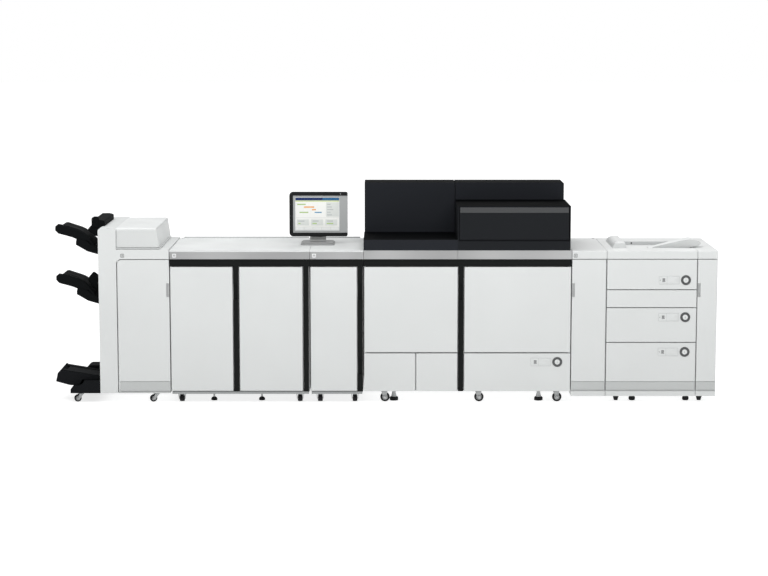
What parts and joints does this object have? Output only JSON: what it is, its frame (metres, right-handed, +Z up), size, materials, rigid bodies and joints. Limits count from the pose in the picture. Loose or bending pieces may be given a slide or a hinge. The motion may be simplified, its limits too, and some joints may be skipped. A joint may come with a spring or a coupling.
{
  "type": "digital production printer",
  "caption": "Sheet-fed production printing line: stacking finisher, fusing and bridge stations, print engine with toner tower and console, and a paper deck with drawers.",
  "frame": {"origin": "on the floor, at the middle of the line's length and depth", "axes": "+X along the line from the output trays to the paper deck, +Y from the operator's side to the rear, +Z up"},
  "size_m": [4.474, 0.797, 1.456],
  "materials": {
    "white_cover": "fine satin grain",
    "top_white": "satin",
    "tray_black": "satin",
    "band_black": "satin",
    "silver": "brushed along the line",
    "rail_grey": "satin",
    "charcoal": "satin",
    "container_black": "satin",
    "stand_grey": "satin",
    "kick_grey": "satin",
    "hub_grey": "satin",
    "console_grey": "satin",
    "ring_grey": "semi gloss",
    "strip_grey": "satin",
    "inner_grey": "satin",
    "caster_metal": "satin zinc",
    "wheel_rubber": "matt",
    "foot_black": "matt",
    "console_black": "satin",
    "screen": "lit touch screen"
  },
  "bodies": {
    "line": {"finisher_cabinet": "white_cover", "finisher_top_cover": "top_white", "exit_hoods": "tray_black", "tray_rails": "tray_black", "booklet_tray": "tray_black", "booklet_housing": "tray_black", "fuser_cabinet": "white_cover", "bridge_cabinet": "white_cover", "engine_cabinet": "white_cover", "engine_lower_covers": "white_cover", "inner_covers": "inner_grey", "header_band": "band_black", "silver_trim": "silver", "front_posts": "band_black", "base_rails": "rail_grey", "worktops": "top_white", "tower": "charcoal", "tower_base": "charcoal", "toner_housing": "charcoal", "toner_containers": "container_black", "console_stand": "stand_grey", "deck_cabinet": "white_cover", "deck_worktop": "top_white", "feeder_head": "top_white", "bypass_tray": "top_white", "deck_skirt": "white_cover", "deck_fixed_front": "white_cover", "caster_forks": "caster_metal", "caster_wheels": "wheel_rubber", "caster_hubs": "hub_grey", "levelling_feet": "foot_black", "rear_covers": "white_cover"},
    "finisher_door": {"finisher_door": "white_cover", "finisher_door_trim": "kick_grey"},
    "upper_tray": {"upper_tray": "tray_black"},
    "lower_tray": {"lower_tray": "tray_black"},
    "fuser_door_left": {"fuser_door_left": "white_cover"},
    "fuser_door_right": {"fuser_door_right": "white_cover"},
    "bridge_door": {"bridge_door": "white_cover"},
    "engine_door_left": {"engine_door_left": "white_cover"},
    "engine_door_right": {"engine_door_right": "white_cover"},
    "engine_drawer": {"engine_drawer": "white_cover", "engine_drawer_ring": "ring_grey"},
    "toner_cover": {"toner_cover": "charcoal", "toner_cover_strip": "strip_grey"},
    "console_monitor": {"console_monitor": "console_grey", "console_bezel": "console_black", "console_screen": "screen"},
    "deck_door_left": {"deck_door_left": "white_cover", "deck_door_left_trim": "kick_grey"},
    "deck_door_right": {"deck_door_right": "white_cover", "deck_door_right_trim": "kick_grey"},
    "deck_drawer_1": {"deck_drawer_1": "white_cover", "deck_drawer_ring_1": "ring_grey"},
    "deck_drawer_2": {"deck_drawer_2": "white_cover", "deck_drawer_ring_2": "ring_grey"},
    "deck_drawer_3": {"deck_drawer_3": "white_cover", "deck_drawer_ring_3": "ring_grey", "deck_drawer_kick": "kick_grey"}
  },
  "joints": [
    {"name": "finisher_door_hinge", "type": "hinge", "parent": "line", "child": "finisher_door", "pos_m": [-1.798, -0.392, 0.5], "axis": [0, 0, 1], "range_deg": [-95, 0]},
    {"name": "fuser_door_left_hinge", "type": "hinge", "parent": "line", "child": "fuser_door_left", "pos_m": [-1.439, -0.388, 0.5], "axis": [0, 0, 1], "range_deg": [-95, 0]},
    {"name": "fuser_door_right_hinge", "type": "hinge", "parent": "line", "child": "fuser_door_right", "pos_m": [-0.565, -0.388, 0.5], "axis": [0, 0, 1], "range_deg": [0, 95]},
    {"name": "bridge_door_hinge", "type": "hinge", "parent": "line", "child": "bridge_door", "pos_m": [-0.495, -0.388, 0.5], "axis": [0, 0, 1], "range_deg": [-95, 0]},
    {"name": "engine_door_left_hinge", "type": "hinge", "parent": "line", "child": "engine_door_left", "pos_m": [-0.133, -0.388, 0.5], "axis": [0, 0, 1], "range_deg": [-95, 0]},
    {"name": "engine_door_right_hinge", "type": "hinge", "parent": "line", "child": "engine_door_right", "pos_m": [1.243, -0.388, 0.5], "axis": [0, 0, 1], "range_deg": [0, 95]},
    {"name": "deck_door_left_hinge", "type": "hinge", "parent": "line", "child": "deck_door_left", "pos_m": [1.479, -0.388, 0.5], "axis": [0, 0, 1], "range_deg": [0, 95]},
    {"name": "deck_door_right_hinge", "type": "hinge", "parent": "line", "child": "deck_door_right", "pos_m": [2.228, -0.388, 0.5], "axis": [0, 0, 1], "range_deg": [0, 95]},
    {"name": "engine_drawer_slide", "type": "slide", "parent": "line", "child": "engine_drawer", "axis": [0, 1, 0], "range_m": [-0.45, 0]},
    {"name": "deck_drawer_1_slide", "type": "slide", "parent": "line", "child": "deck_drawer_1", "axis": [0, 1, 0], "range_m": [-0.45, 0]},
    {"name": "deck_drawer_2_slide", "type": "slide", "parent": "line", "child": "deck_drawer_2", "axis": [0, 1, 0], "range_m": [-0.45, 0]},
    {"name": "deck_drawer_3_slide", "type": "slide", "parent": "line", "child": "deck_drawer_3", "axis": [0, 1, 0], "range_m": [-0.45, 0]},
    {"name": "upper_tray_lift", "type": "slide", "parent": "line", "child": "upper_tray", "axis": [0, 0, 1], "range_m": [-0.12, 0]},
    {"name": "lower_tray_lift", "type": "slide", "parent": "line", "child": "lower_tray", "axis": [0, 0, 1], "range_m": [-0.4, 0]},
    {"name": "toner_cover_hinge", "type": "hinge", "parent": "line", "child": "toner_cover", "pos_m": [0.8665, -0.387, 1.119], "axis": [1, 0, 0], "range_deg": [0, 85]},
    {"name": "console_tilt", "type": "hinge", "parent": "line", "child": "console_monitor", "pos_m": [-0.464, 0.029, 1.224], "axis": [1, 0, 0], "range_deg": [-35, 5]}
  ]
}
